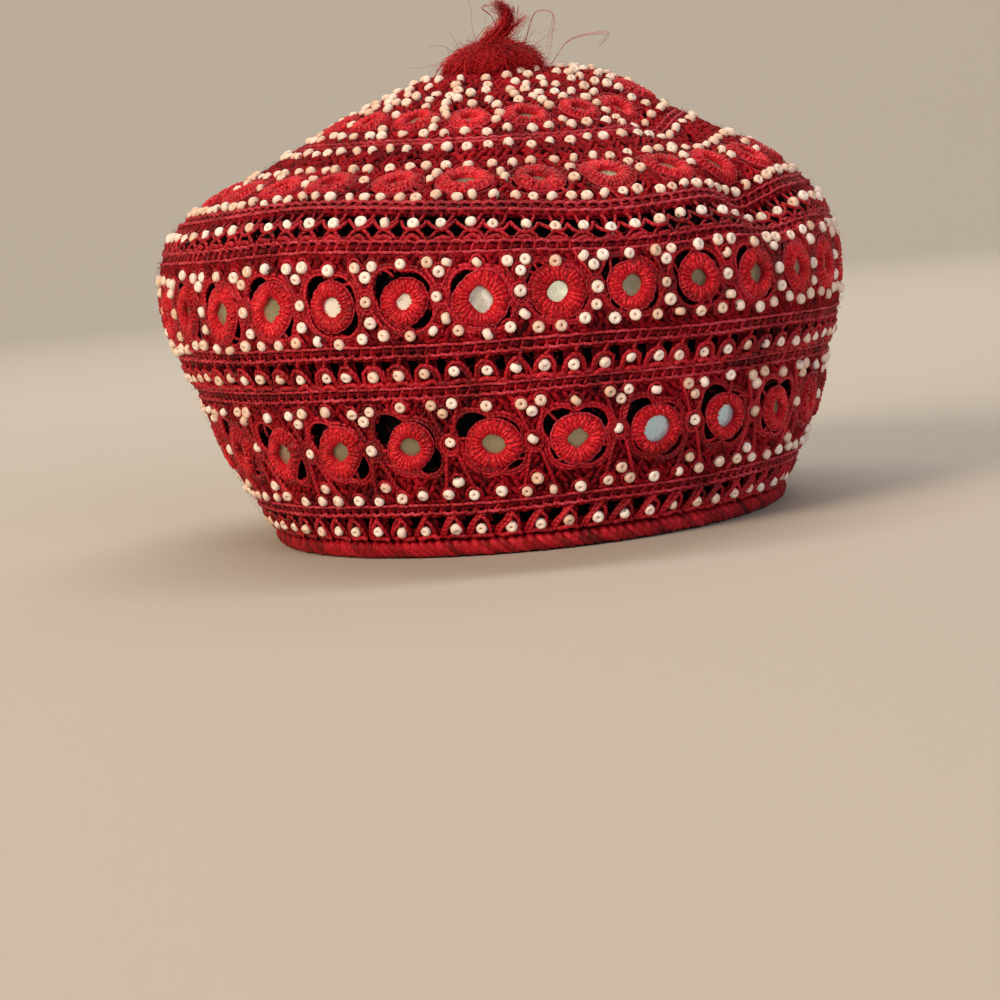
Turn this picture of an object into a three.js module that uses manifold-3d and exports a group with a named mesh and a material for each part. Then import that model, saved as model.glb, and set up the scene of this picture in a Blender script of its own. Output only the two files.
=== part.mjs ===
// Crocheted mirror-work smoking cap, in millimetres.
// +Z is up, the rim stands on z = 0 and the front of the cap looks along -Y.
// Every band is placed on one cap surface: an angle round the cap, from the front towards +X,
// a level, which is the slant distance up from the first row above the rim, and a lift off it.
import * as THREE from "three";
import { mergeVertices } from "three/addons/utils/BufferGeometryUtils.js";
import Module from "manifold-3d";

const wasm = await Module();
wasm.setup();

// Driving sizes
const RIM_WIDTH = 160;
const RIM_DEPTH = 184;
const CAP_WIDTH = 211;
const CAP_DEPTH = 223;
const CROWN_HEIGHT = 141;
const RIM_CORD_HEIGHT = 5.6;
const RIM_CORD_WIDTH = 5.6;
const BAND_WALL = 2;
const LINING_WALL = 1;
const CLEARANCE = 0.5;
const LINING_CLEARANCE = 2;
const ROSETTE_DIAMETER = 15.5;
const ROSETTE_RIDGE = 1.2;
const MIRROR_OPENING = 7;
const MIRROR_LIFT = 0.2;
const NET_RAIL = 1.5;
const NET_BAR = 1.6;
const TUFT_WIDTH = 33;
const TUFT_DOME = 8;
const TUFT_LOCK = 7;
const RIM_CORD_INSET = 1.4;
const LEAN = 4;
const SWAY = 3;

// Facets
const SEGMENTS = 30;
const ROSETTE_SIDES = 8;
const LOCK_SIDES = 5;
const LOCK_STEPS = [0, 0.35, 0.7, 1];

// How the worn shape eases in and out. Powers and shares of the slant length.
const LEAN_POWER = 1.5;
const LEAN_FADE = 0.3;
const FOLD_FADE = 0.08;

// Small steps for measuring directions on the surface, in millimetres and radians
const LEVEL_STEP = 0.5;
const TURN_STEP = 0.01;

// Stations up the cap wall. rise: share of the height from the rim cord to the top.
// rim, cap: shares of the rim's and the widest row's half sizes, added together.
const STATIONS = [
  { name: "lower_net", rise: 0, rim: 0.953, cap: 0.047 },
  { name: "foot_braid", rise: 0.053, rim: 0.796, cap: 0.204 },
  { name: "lower_mirrors", rise: 0.077, rim: 0.725, cap: 0.275 },
  { name: "waist_lower_braid", rise: 0.302, rim: 0.263, cap: 0.737 },
  { name: "waist_net", rise: 0.326, rim: 0.224, cap: 0.776 },
  { name: "waist_upper_braid", rise: 0.388, rim: 0.098, cap: 0.902 },
  { name: "upper_mirrors", rise: 0.416, rim: 0.051, cap: 0.949 },
  { name: "widest", rise: 0.505, rim: 0, cap: 1 },
  { name: "shoulder_braid", rise: 0.593, rim: 0, cap: 0.993 },
  { name: "shoulder_net", rise: 0.616, rim: 0, cap: 0.983 },
  { name: "edge_braid", rise: 0.672, rim: 0, cap: 0.932 },
  { name: "crown_mirrors", rise: 0.692, rim: 0, cap: 0.897 },
  { name: "crown_beads", rise: 0.787, rim: 0, cap: 0.65 },
  { name: "top_mirrors", rise: 0.833, rim: 0, cap: 0.535 },
  { name: "centre", rise: 0.926, rim: 0, cap: 0.309 },
  { name: "tuft_seat", rise: 0.987, rim: 0, cap: 0.114 },
  { name: "apex", rise: 1, rim: 0, cap: 0 },
];

// Soft dents and swellings of the crown. angle, spread: degrees round the cap.
// level, reach: shares of the slant length. inward, drop: shares of CROWN_HEIGHT.
const FOLDS = [
  { name: "front_crease", angle: 50, level: 0.471, spread: 8, reach: 0.058, inward: 0.039, drop: 0.039 },
  { name: "front_dip", angle: 18, level: 0.456, spread: 16, reach: 0.063, inward: 0, drop: 0.021 },
  { name: "left_swell", angle: -35, level: 0.471, spread: 22, reach: 0.087, inward: 0, drop: -0.018 },
  { name: "right_lobe", angle: 88, level: 0.631, spread: 46, reach: 0.165, inward: -0.014, drop: -0.057 },
  { name: "right_top", angle: 108, level: 0.81, spread: 55, reach: 0.107, inward: 0, drop: -0.06 },
  { name: "crown_crease", angle: 56, level: 0.7, spread: 9, reach: 0.097, inward: 0, drop: 0.03 },
];

const slantTo = [0];
const stations = STATIONS.map((row) => ({
  name: row.name,
  halfWidth: (row.rim * RIM_WIDTH + row.cap * CAP_WIDTH) / 2,
  halfDepth: (row.rim * RIM_DEPTH + row.cap * CAP_DEPTH) / 2,
  height: THREE.MathUtils.lerp(RIM_CORD_HEIGHT + CLEARANCE / 2, CROWN_HEIGHT, row.rise),
}));
for (let i = 1; i < stations.length; i += 1) {
  const across = stations[i].halfWidth - stations[i - 1].halfWidth;
  const up = stations[i].height - stations[i - 1].height;
  slantTo.push(slantTo[i - 1] + Math.hypot(across, up));
}
const SLANT = slantTo[slantTo.length - 1];
const levelOf = Object.fromEntries(stations.map((station, i) => [station.name, slantTo[i]]));

// Smooth curve through the stations, with the slope of the parabola through each three of them
function slopes(key) {
  const last = stations.length - 1;
  return stations.map((station, i) => {
    const back = i > 0 ? slantTo[i] - slantTo[i - 1] : 0;
    const ahead = i < last ? slantTo[i + 1] - slantTo[i] : 0;
    const rateBack = i > 0 ? (station[key] - stations[i - 1][key]) / back : 0;
    const rateAhead = i < last ? (stations[i + 1][key] - station[key]) / ahead : 0;
    return (rateBack * ahead + rateAhead * back) / (ahead + back || 1);
  });
}
const slopeOf = {
  halfWidth: slopes("halfWidth"),
  halfDepth: slopes("halfDepth"),
  height: slopes("height"),
};

function along(key, level) {
  const last = stations.length - 2;
  const found = slantTo.findIndex((to, k) => k > 0 && level < to) - 1;
  const i = found < 0 ? last : Math.min(found, last);
  const span = slantTo[i + 1] - slantTo[i];
  const t = (level - slantTo[i]) / span;
  const from = stations[i][key] * (1 + 2 * t) * (1 - t) ** 2;
  const to = stations[i + 1][key] * t * t * (3 - 2 * t);
  const leave = slopeOf[key][i] * span * t * (1 - t) ** 2;
  const reach = slopeOf[key][i + 1] * span * t * t * (t - 1);
  return from + to + leave + reach;
}

function onSurface(angle, level) {
  const lower = Math.min(level / levelOf.widest, 1) ** LEAN_POWER;
  const upper = Math.min((SLANT - level) / (SLANT * LEAN_FADE), 1);
  let inward = 0;
  let drop = LEAN * Math.sin(angle) * lower * upper;
  for (const fold of FOLDS) {
    const degrees = THREE.MathUtils.radToDeg(angle) - fold.angle;
    const turn = THREE.MathUtils.euclideanModulo(degrees + 180, 360) - 180;
    const away = (turn / fold.spread) ** 2 + ((level / SLANT - fold.level) / fold.reach) ** 2;
    const weight = Math.exp(-away) * Math.min((SLANT - level) / (SLANT * FOLD_FADE), 1);
    inward += fold.inward * CROWN_HEIGHT * weight;
    drop += fold.drop * CROWN_HEIGHT * weight;
  }
  return new THREE.Vector3(
    (along("halfWidth", level) - inward) * Math.sin(angle) - SWAY * lower,
    -(along("halfDepth", level) - inward) * Math.cos(angle),
    along("height", level) - drop,
  );
}

// Outward direction of the surface at a point
function outward(angle, level) {
  const turn = LEVEL_STEP / levelOf.widest;
  const within = THREE.MathUtils.clamp(level, LEVEL_STEP, SLANT - 2 * LEVEL_STEP);
  const round = onSurface(angle + turn, within).sub(onSurface(angle - turn, within));
  const up = onSurface(angle, within + LEVEL_STEP).sub(onSurface(angle, within - LEVEL_STEP));
  return round.cross(up).normalize();
}

function place(angle, level, lift) {
  const point = onSurface(angle, level);
  if (level > SLANT - 2 * LEVEL_STEP) return point.setZ(point.z + lift);
  return point.addScaledVector(outward(angle, level), lift);
}

// Millimetres round the cap for each radian, at a point of [angle, level]
function radiusAt([angle, level]) {
  const before = onSurface(angle - TURN_STEP, level);
  return onSurface(angle + TURN_STEP, level).distanceTo(before) / (2 * TURN_STEP);
}

// Rows of mirrors, each between two stations. count, start: rosettes round the row, and the
// first one's angle in degrees. facets: flats of the cloth to each rosette. middle: share of the
// way up its band. climb: how much higher the right side's rosettes sit. size: share of
// ROSETTE_DIAMETER and MIRROR_OPENING.
const ROWS = {
  lower: { count: 25, start: -5.5, facets: 1, middle: 0.54, climb: 0.4, size: 1 },
  upper: { count: 31, start: -3.7, facets: 1, middle: 0.48, climb: 2.2, size: 1 },
  crown: { count: 26, start: -5.1, facets: 1, middle: 0.41, climb: 0, size: 0.98 },
  top: { count: 17, start: -5.7, facets: 2, middle: 0.4, climb: 0, size: 0.84 },
};
const ROW_ENDS = {
  lower: ["lower_mirrors", "waist_lower_braid"],
  upper: ["upper_mirrors", "shoulder_braid"],
  crown: ["crown_mirrors", "crown_beads"],
  top: ["top_mirrors", "centre"],
};
for (const [name, ends] of Object.entries(ROW_ENDS)) [ROWS[name].from, ROWS[name].to] = ends;

// Angles where the flats of a row's cloth meet
function gridOf(row) {
  const flats = row.count * row.facets;
  const first = THREE.MathUtils.degToRad(row.start) - Math.PI / row.count;
  return Array.from({ length: flats }, (_, i) => first + (i / flats) * 2 * Math.PI);
}

// Merges shared points and drops the triangles that close up to a line at a pole
function closed(triangles) {
  const merged = mergeVertices(new THREE.BufferGeometry().setFromPoints(triangles.flat()), 1e-4);
  const old = merged.index.array;
  const kept = [];
  for (let i = 0; i < old.length; i += 3) {
    const [a, b, c] = [old[i], old[i + 1], old[i + 2]];
    if (a !== b && b !== c && c !== a) kept.push(a, b, c);
  }
  return merged.setIndex(kept);
}

// A four-sided patch divided along its shorter diagonal, so that layers that face each other agree
function patch(a, b, c, d) {
  return a.distanceTo(c) < b.distanceTo(d) ? [[a, b, c], [a, c, d]] : [[a, b, d], [b, c, d]];
}

// Skin over rows of points; the last row joins the first
function skin(rows, sectionCloses) {
  const steps = sectionCloses ? rows[0].length : rows[0].length - 1;
  return closed(rows.flatMap((row, j) => {
    const next = rows[(j + 1) % rows.length];
    return Array.from({ length: steps }, (_, i) => {
      const k = (i + 1) % row.length;
      return patch(row[i], next[i], next[k], row[k]);
    }).flat();
  }));
}

function toSolid(geometry) {
  return new wasm.Manifold(new wasm.Mesh({
    numProp: 3,
    vertProperties: new Float32Array(geometry.attributes.position.array),
    triVerts: new Uint32Array(geometry.index.array),
  }));
}

function toGeometry(solid) {
  const mesh = solid.getMesh();
  const geometry = new THREE.BufferGeometry();
  geometry.setAttribute("position", new THREE.BufferAttribute(new Float32Array(mesh.vertProperties), 3));
  geometry.setIndex(Array.from(mesh.triVerts));
  return geometry;
}

// A plain band of cloth round the cap, from one level to another
function band(from, to, row) {
  const levels = [levelOf[from] + CLEARANCE / 2, levelOf[to] - CLEARANCE / 2];
  return skin(gridOf(row).map((angle) => [
    ...levels.map((level) => place(angle, level, 0)),
    ...levels.toReversed().map((level) => place(angle, level, -BAND_WALL)),
  ]), true);
}

// A domed piece over the top of the cap, thick from inner to outer lift
function dome(grid, levels, outer, inner) {
  return skin(grid.map((angle) => [
    ...levels.toReversed().map((level) => place(angle, level, inner)),
    ...levels.map((level) => place(angle, level, outer)),
  ]), false);
}

// Triangles between an outline and a smaller loop inside it, both of [angle, level] and both
// anticlockwise seen from outside, taken in the order of their turn about the loop's centre
function collar(outline, loop, centre, radius) {
  const turn = ([angle, level]) => Math.atan2(level - centre[1], radius * (angle - centre[0]));
  const byTurn = (p, q) => turn(p) - turn(q);
  const [around, within] = [outline.toSorted(byTurn), loop.toSorted(byTurn)];
  let [far, near] = [around.at(-1), within.at(-1)];
  return [...outline, ...loop].sort(byTurn).map((point) => {
    const triangle = [far, point, near];
    if (outline.includes(point)) far = point;
    else near = point;
    return triangle;
  });
}

// Outline of one cell of cloth, anticlockwise from its lower left, through the given levels
function cellOutline(angles, levels) {
  const [low, high] = [levels[0], levels.at(-1)];
  const [left, right] = [angles[0], angles.at(-1)];
  return [
    ...angles.map((angle) => [angle, low]),
    ...levels.slice(1, -1).map((level) => [right, level]),
    ...angles.toReversed().map((angle) => [angle, high]),
    ...levels.slice(1, -1).toReversed().map((level) => [left, level]),
  ];
}

const liftedCorners = (corners, lift) => corners.map((at) => place(...at, lift));
const lifted = (triangles, lift) => triangles.map((corners) => liftedCorners(corners, lift));
const turned = (triangles) => triangles.map((corners) => corners.toReversed());

// Cut edges of a cell at its foot and head, between the cloth's outer and inner face
function cellEnds(angles, [low, high]) {
  return angles.slice(1).flatMap((right, i) => {
    const left = angles[i];
    const edge = (level) => [[left, 0], [right, 0], [right, -BAND_WALL], [left, -BAND_WALL]]
      .map(([angle, lift]) => place(angle, level, lift));
    return [...turned(patch(...edge(low))), ...patch(...edge(high))];
  });
}

// Stitched ring round a mirror: a ridge that slopes in to the mirror's flat face
function mirrorCell(angles, levels, centre, size) {
  const radius = radiusAt(centre);
  const loop = (width, lift) => Array.from({ length: ROSETTE_SIDES }, (_, i) => {
    const a = ((i + 0.5) / ROSETTE_SIDES) * 2 * Math.PI;
    const at = [centre[0] + (width * Math.cos(a)) / radius, centre[1] + width * Math.sin(a)];
    return { at, point: place(...at, lift) };
  });
  const foot = loop((size * ROSETTE_DIAMETER) / 2, 0);
  const ridge = loop((size * ROSETTE_DIAMETER) / 2 - ROSETTE_RIDGE, ROSETTE_RIDGE);
  const mirror = loop((size * MIRROR_OPENING) / 2, MIRROR_LIFT);
  const ring = (outer, inner) => outer.flatMap((here, i) => {
    const k = (i + 1) % ROSETTE_SIDES;
    return patch(here.point, outer[k].point, inner[k].point, inner[i].point);
  });
  const face = mirror.slice(1, -1).map((here, i) => [mirror[0].point, here.point, mirror[i + 2].point]);
  const cloth = collar(cellOutline(angles, levels), foot.map((here) => here.at), centre, radius);
  const back = levels.slice(1).flatMap((high, j) => angles.slice(1).flatMap((right, i) => {
    const [left, low] = [angles[i], levels[j]];
    return patch(...liftedCorners([[left, low], [right, low], [right, high], [left, high]], -BAND_WALL));
  }));
  return [
    ...lifted(cloth, 0),
    ...ring(foot, ridge),
    ...ring(ridge, mirror),
    ...face,
    ...turned(back),
    ...cellEnds(angles, [levels[0], levels.at(-1)]),
  ];
}

// Level of the middle of a row's mirrors, before they climb
const middleLevel = (row) => THREE.MathUtils.lerp(levelOf[row.from], levelOf[row.to], row.middle);

// Angles of the edges of a row's cells, each from one side of the cell to the other
function cellsOf(row) {
  const grid = gridOf(row);
  const edge = (k) => grid[k % grid.length] + (k >= grid.length ? 2 * Math.PI : 0);
  return Array.from({ length: row.count }, (_, i) => (
    Array.from({ length: row.facets + 1 }, (_, j) => edge(i * row.facets + j))
  ));
}

function mirrorBand(row) {
  const middle = middleLevel(row);
  const levels = [levelOf[row.from] + CLEARANCE / 2, middle, levelOf[row.to] - CLEARANCE / 2];
  return closed(cellsOf(row).flatMap((angles) => {
    const centre = (angles[0] + angles.at(-1)) / 2;
    return mirrorCell(angles, levels, [centre, middle + row.climb * Math.sin(centre)], row.size);
  }));
}

// A net: each cell has a three-cornered gap between its slanting strands
function net(from, to, row) {
  const levels = [levelOf[from] + CLEARANCE / 2, levelOf[to] - CLEARANCE / 2];
  return closed(cellsOf(row).flatMap((angles, i) => {
    const [left, right] = angles;
    const radius = onSurface(left, levels[0]).setZ(0).length();
    const bar = NET_BAR / 2 / radius;
    const [low, high] = [levels[0] + NET_RAIL, levels[1] - NET_RAIL];
    const middle = (left + right) / 2;
    const gap = i % 2
      ? [[middle, low], [right - bar, high], [left + bar, high]]
      : [[left + bar, low], [right - bar, low], [middle, high]];
    const centre = [middle, (gap[0][1] + gap[1][1] + gap[2][1]) / 3];
    const cloth = collar(cellOutline(angles, levels), gap, centre, radius);
    const sides = gap.flatMap((here, k) => {
      const edge = [here, gap[(k + 1) % gap.length]];
      return patch(...liftedCorners(edge, 0), ...liftedCorners(edge.toReversed(), -BAND_WALL));
    });
    const back = turned(lifted(cloth, -BAND_WALL));
    return [...lifted(cloth, 0), ...back, ...sides, ...cellEnds(angles, levels)];
  }));
}

const ANGLES = Array.from({ length: SEGMENTS }, (_, i) => (i / SEGMENTS) * 2 * Math.PI);

// Rim cord: flat where it rests, round elsewhere. across, up: shares of its width and height.
const CORD_SECTION = [
  { across: -0.24, up: 0 },
  { across: 0.24, up: 0 },
  { across: 0.44, up: 0.18 },
  { across: 0.5, up: 0.48 },
  { across: 0.48, up: 0.8 },
  { across: 0.38, up: 0.98 },
  { across: 0, up: 1 },
  { across: -0.36, up: 0.86 },
  { across: -0.5, up: 0.52 },
  { across: -0.44, up: 0.2 },
];

function rimCord() {
  return skin(ANGLES.map((angle) => CORD_SECTION.map((point) => {
    const out = point.across * RIM_CORD_WIDTH - RIM_CORD_INSET;
    return new THREE.Vector3(
      (RIM_WIDTH / 2 + out) * Math.sin(angle),
      -(RIM_DEPTH / 2 + out) * Math.cos(angle),
      point.up * RIM_CORD_HEIGHT,
    );
  })), true);
}

// Frayed tuft of thread ends: a dome with locks. turn: degrees round the cap.
// out, length: shares of TUFT_WIDTH, for the lock's foot and its reach. bend: degrees.
const LOCKS = [
  { turn: 8, out: 0.17, length: 0.36, bend: 26 },
  { turn: 50, out: 0.23, length: 0.34, bend: 50 },
  { turn: 88, out: 0.25, length: 0.5, bend: 62 },
  { turn: 132, out: 0.23, length: 0.36, bend: 46 },
  { turn: 172, out: 0.2, length: 0.4, bend: 30 },
  { turn: 210, out: 0.23, length: 0.34, bend: 48 },
  { turn: 248, out: 0.22, length: 0.36, bend: 40 },
  { turn: 284, out: 0.25, length: 0.34, bend: 54 },
  { turn: 322, out: 0.22, length: 0.38, bend: 38 },
  { turn: 350, out: 0.03, length: 0.52, bend: 5 },
];
// A lock's foot, as a share of the dome's height, and how much thinner its tip is
const LOCK_FOOT = 0.45;
const LOCK_TAPER = 0.75;

// Height of the tuft's dome over the crown at a share of its half width
const domeHeight = (share) => CLEARANCE + TUFT_DOME * Math.sqrt(Math.max(1 - share * share, 0));

function lock({ turn, out, length, bend }) {
  const angle = THREE.MathUtils.degToRad(turn);
  const tilt = THREE.MathUtils.degToRad(bend);
  const upright = new THREE.Vector3(0, 0, 1);
  const side = new THREE.Vector3(Math.sin(angle), -Math.cos(angle), 0);
  const across = new THREE.Vector3(Math.cos(angle), Math.sin(angle), 0);
  const rise = side.clone().multiplyScalar(Math.sin(tilt)).addScaledVector(upright, Math.cos(tilt));
  const start = onSurface(0, SLANT).addScaledVector(side, out * TUFT_WIDTH);
  start.addScaledVector(upright, LOCK_FOOT * TUFT_DOME);
  const tip = start.clone().addScaledVector(rise, length * TUFT_WIDTH);
  const knee = start.clone().lerp(tip, 0.5).addScaledVector(upright, TUFT_LOCK / 2);
  const curve = new THREE.QuadraticBezierCurve3(start, knee, tip);
  const rows = LOCK_STEPS.map((t) => {
    const normal = new THREE.Vector3().crossVectors(curve.getTangent(t), across);
    const radius = (TUFT_LOCK / 2) * (1 - LOCK_TAPER * t);
    return Array.from({ length: LOCK_SIDES }, (_, i) => {
      const a = (i / LOCK_SIDES) * 2 * Math.PI;
      const point = curve.getPoint(t).addScaledVector(across, radius * Math.cos(a));
      return point.addScaledVector(normal, radius * Math.sin(a));
    });
  });
  const sides = Array.from({ length: LOCK_SIDES }, (_, i) => [start, ...rows.map((row) => row[i]), tip]);
  return toSolid(skin(sides, false));
}

function tuft() {
  const shares = [1, 0.88, 0.6, 0.3, 0];
  const level = (share) => SLANT - (share * TUFT_WIDTH) / 2;
  const rows = ANGLES.filter((_, i) => i % 3 === 0).map((angle) => [
    ...shares.toReversed().map((share) => place(angle, level(share), CLEARANCE)),
    ...shares.slice(1).map((share) => {
      const point = onSurface(angle, level(share));
      return point.setZ(point.z + domeHeight(share));
    }),
  ]);
  return toGeometry(LOCKS.reduce((solid, row) => solid.add(lock(row)), toSolid(skin(rows, false))));
}

function lining() {
  const outer = -BAND_WALL - LINING_CLEARANCE;
  const levels = [
    levelOf.lower_net,
    levelOf.waist_lower_braid,
    middleLevel(ROWS.upper),
    levelOf.shoulder_net,
    levelOf.edge_braid,
    levelOf.crown_mirrors,
    middleLevel(ROWS.crown),
    levelOf.crown_beads,
    middleLevel(ROWS.top),
    SLANT,
  ];
  return dome(ANGLES, levels, outer, outer - LINING_WALL);
}

function crownCentre() {
  const levels = [levelOf.centre + CLEARANCE / 2, levelOf.tuft_seat, SLANT];
  return dome(gridOf(ROWS.top), levels, 0, -BAND_WALL);
}

const cloth = (name, color, roughness) => (
  new THREE.MeshStandardMaterial({ name, color, roughness, metalness: 0 })
);
const crimson = cloth("crimson_thread", 0xa8162b, 0.82);
const rimThread = cloth("rim_thread", 0x9c1226, 0.8);
const blackCloth = cloth("black_lining", 0x0d0b0c, 0.95);
const tuftThread = cloth("tuft_thread", 0xb0152f, 0.75);

const pieces = [
  ["lining", lining(), blackCloth],
  ["rim_cord", rimCord(), rimThread],
  ["lower_net", net("lower_net", "foot_braid", ROWS.lower), crimson],
  ["foot_braid", band("foot_braid", "lower_mirrors", ROWS.lower), crimson],
  ["lower_mirror_band", mirrorBand(ROWS.lower), crimson],
  ["waist_lower_braid", band("waist_lower_braid", "waist_net", ROWS.lower), crimson],
  ["waist_net", net("waist_net", "waist_upper_braid", ROWS.lower), crimson],
  ["waist_upper_braid", band("waist_upper_braid", "upper_mirrors", ROWS.upper), crimson],
  ["upper_mirror_band", mirrorBand(ROWS.upper), crimson],
  ["shoulder_braid", band("shoulder_braid", "shoulder_net", ROWS.upper), crimson],
  ["shoulder_net", net("shoulder_net", "edge_braid", ROWS.crown), crimson],
  ["edge_braid", band("edge_braid", "crown_mirrors", ROWS.crown), crimson],
  ["crown_mirror_band", mirrorBand(ROWS.crown), crimson],
  ["crown_bead_band", band("crown_beads", "top_mirrors", ROWS.crown), crimson],
  ["top_mirror_band", mirrorBand(ROWS.top), crimson],
  ["crown_centre", crownCentre(), crimson],
  ["tuft", tuft(), tuftThread],
];

const cap = new THREE.Group();
cap.name = "smoking_cap";
for (const [name, geometry, material] of pieces) {
  geometry.computeVertexNormals();
  const mesh = new THREE.Mesh(geometry, material);
  mesh.name = name;
  cap.add(mesh);
}

// The cap's own box is centred over the origin
const centre = new THREE.Box3().setFromObject(cap).getCenter(new THREE.Vector3());
cap.children.forEach((mesh) => mesh.geometry.translate(-centre.x, -centre.y, 0));

export default cap;
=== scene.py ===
# %% [markdown]
# # A crocheted mirror-work smoking cap
#
# The cap is worked in the round from a whipped rim cord up to a frayed tuft. Bands of open
# crochet hold seed beads and small stitched mirrors, and a thin black lining shows through
# every gap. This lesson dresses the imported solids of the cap, in metres and in their frame.

# %% Load the frame
import math
from collections import namedtuple

import bpy
import numpy as np
from mathutils import Matrix, Vector


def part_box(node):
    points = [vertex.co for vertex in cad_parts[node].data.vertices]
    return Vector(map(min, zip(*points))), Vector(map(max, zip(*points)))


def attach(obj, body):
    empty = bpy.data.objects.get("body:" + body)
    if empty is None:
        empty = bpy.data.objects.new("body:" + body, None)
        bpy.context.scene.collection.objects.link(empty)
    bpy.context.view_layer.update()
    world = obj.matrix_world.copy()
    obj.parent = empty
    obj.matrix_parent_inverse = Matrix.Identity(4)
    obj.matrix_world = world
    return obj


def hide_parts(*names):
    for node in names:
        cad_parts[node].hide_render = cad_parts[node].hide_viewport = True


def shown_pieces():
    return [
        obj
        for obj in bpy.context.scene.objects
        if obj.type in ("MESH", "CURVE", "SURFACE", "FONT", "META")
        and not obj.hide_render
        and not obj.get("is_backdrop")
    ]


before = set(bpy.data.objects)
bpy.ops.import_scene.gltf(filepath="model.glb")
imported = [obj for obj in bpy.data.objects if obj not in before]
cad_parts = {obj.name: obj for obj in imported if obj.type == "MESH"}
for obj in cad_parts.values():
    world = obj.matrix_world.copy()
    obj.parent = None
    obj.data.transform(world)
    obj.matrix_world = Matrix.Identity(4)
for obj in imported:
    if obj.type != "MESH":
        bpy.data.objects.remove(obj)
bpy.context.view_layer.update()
MM = 0.001
TAU = 2 * np.pi
rng = np.random.default_rng(7)
scene = bpy.context.scene

# %% [markdown]
# ## The cap's surface
#
# Every stitch, bead and mirror is placed by an angle round the cap (0 at the front, positive
# towards +X), a level (the slant distance up from the rim cord) and a lift outward. The surface
# runs smoothly through a short table of stations, then gets the lean, the sway and the soft dents
# of a cap that has been worn. One surface for all pieces keeps rows parallel, as in real work.

# %% Sizes and stations
RIM_WIDTH, RIM_DEPTH = 160, 184
CAP_WIDTH, CAP_DEPTH = 211, 223
CROWN_HEIGHT = 141
FOOT_HEIGHT = 5.85
LEAN, SWAY = 4, 3
# the power by which lean and sway grow upward, and the shares of the slant at the crown's top
# over which the lean and the folds fade out
LEAN_POWER, LEAN_FADE, FOLD_FADE = 1.5, 0.3, 0.08

# name, share of the height, share of the rim's half size, share of the widest row's half size
STATIONS = [
    ("lower_net", 0.0, 0.953, 0.047),
    ("foot_braid", 0.053, 0.796, 0.204),
    ("lower_mirrors", 0.077, 0.725, 0.275),
    ("waist_lower_braid", 0.302, 0.263, 0.737),
    ("waist_net", 0.326, 0.224, 0.776),
    ("waist_upper_braid", 0.388, 0.098, 0.902),
    ("upper_mirrors", 0.416, 0.051, 0.949),
    ("widest", 0.505, 0, 1),
    ("shoulder_braid", 0.593, 0, 0.993),
    ("shoulder_net", 0.616, 0, 0.983),
    ("edge_braid", 0.672, 0, 0.932),
    ("crown_mirrors", 0.692, 0, 0.897),
    ("crown_beads", 0.787, 0, 0.65),
    ("top_mirrors", 0.833, 0, 0.535),
    ("centre", 0.926, 0, 0.309),
    ("tuft_seat", 0.987, 0, 0.114),
    ("apex", 1, 0, 0),
]
# degrees round, level share, spread in degrees, reach as a share of the slant, inward mm, drop mm
FOLDS = [
    (50, 0.471, 8, 0.058, 5.5, 5.5),
    (18, 0.456, 16, 0.063, 0, 3.0),
    (-35, 0.471, 22, 0.087, 0, -2.5),
    (88, 0.631, 46, 0.165, -2.0, -8.0),
    (108, 0.81, 55, 0.107, 0, -8.5),
    (56, 0.7, 9, 0.097, 0, 4.2),
]
shares = np.array([row[1:] for row in STATIONS], float)
HALF_WIDTH = (shares[:, 1] * RIM_WIDTH + shares[:, 2] * CAP_WIDTH) / 2
HALF_DEPTH = (shares[:, 1] * RIM_DEPTH + shares[:, 2] * CAP_DEPTH) / 2
HEIGHT = FOOT_HEIGHT + shares[:, 0] * (CROWN_HEIGHT - FOOT_HEIGHT)
SLANT_TO = np.concatenate([[0], np.cumsum(np.hypot(np.diff(HALF_WIDTH), np.diff(HEIGHT)))])
SLANT = SLANT_TO[-1]
LEVEL = {row[0]: SLANT_TO[i] for i, row in enumerate(STATIONS)}
rim_box = np.array([list(corner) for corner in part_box("rim_cord")]) / MM
RIM_CENTRE = (rim_box[0] + rim_box[1]) / 2
print("slant", round(SLANT, 1), "rim centre", np.round(RIM_CENTRE, 2))

# %% The surface as functions
def along(values, level):
    """A smooth curve through one value for each station."""
    slope = np.gradient(values, SLANT_TO)
    i = np.clip(np.searchsorted(SLANT_TO, level, side="right") - 1, 0, len(SLANT_TO) - 2)
    span = SLANT_TO[i + 1] - SLANT_TO[i]
    t = (level - SLANT_TO[i]) / span
    start = values[i] * (1 + 2 * t) * (1 - t) ** 2 + slope[i] * span * t * (1 - t) ** 2
    return start + values[i + 1] * t * t * (3 - 2 * t) + slope[i + 1] * span * t * t * (t - 1)


def surface(angle, level):
    """Points on the cap, in millimetres, for arrays of angles in radians and levels."""
    angle, level = np.broadcast_arrays(np.asarray(angle, float), np.asarray(level, float))
    level = np.clip(level, 0, SLANT)
    lower = np.minimum(level / LEVEL["widest"], 1) ** LEAN_POWER
    drop = LEAN * np.sin(angle) * lower * np.minimum((SLANT - level) / (SLANT * LEAN_FADE), 1)
    inward = np.zeros_like(drop)
    for turn, share, spread, reach, push, sink in FOLDS:
        away = (np.degrees(angle) - turn + 180) % 360 - 180
        weight = np.exp(-((away / spread) ** 2) - ((level / SLANT - share) / reach) ** 2)
        weight = weight * np.minimum((SLANT - level) / (SLANT * FOLD_FADE), 1)
        inward = inward + push * weight
        drop = drop + sink * weight
    x = (along(HALF_WIDTH, level) - inward) * np.sin(angle) - SWAY * lower + RIM_CENTRE[0]
    y = -(along(HALF_DEPTH, level) - inward) * np.cos(angle)
    return np.stack([x, y, along(HEIGHT, level) - drop], -1)


def unit(v):
    return v / np.maximum(np.linalg.norm(v, axis=-1, keepdims=True), 1e-9)


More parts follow.
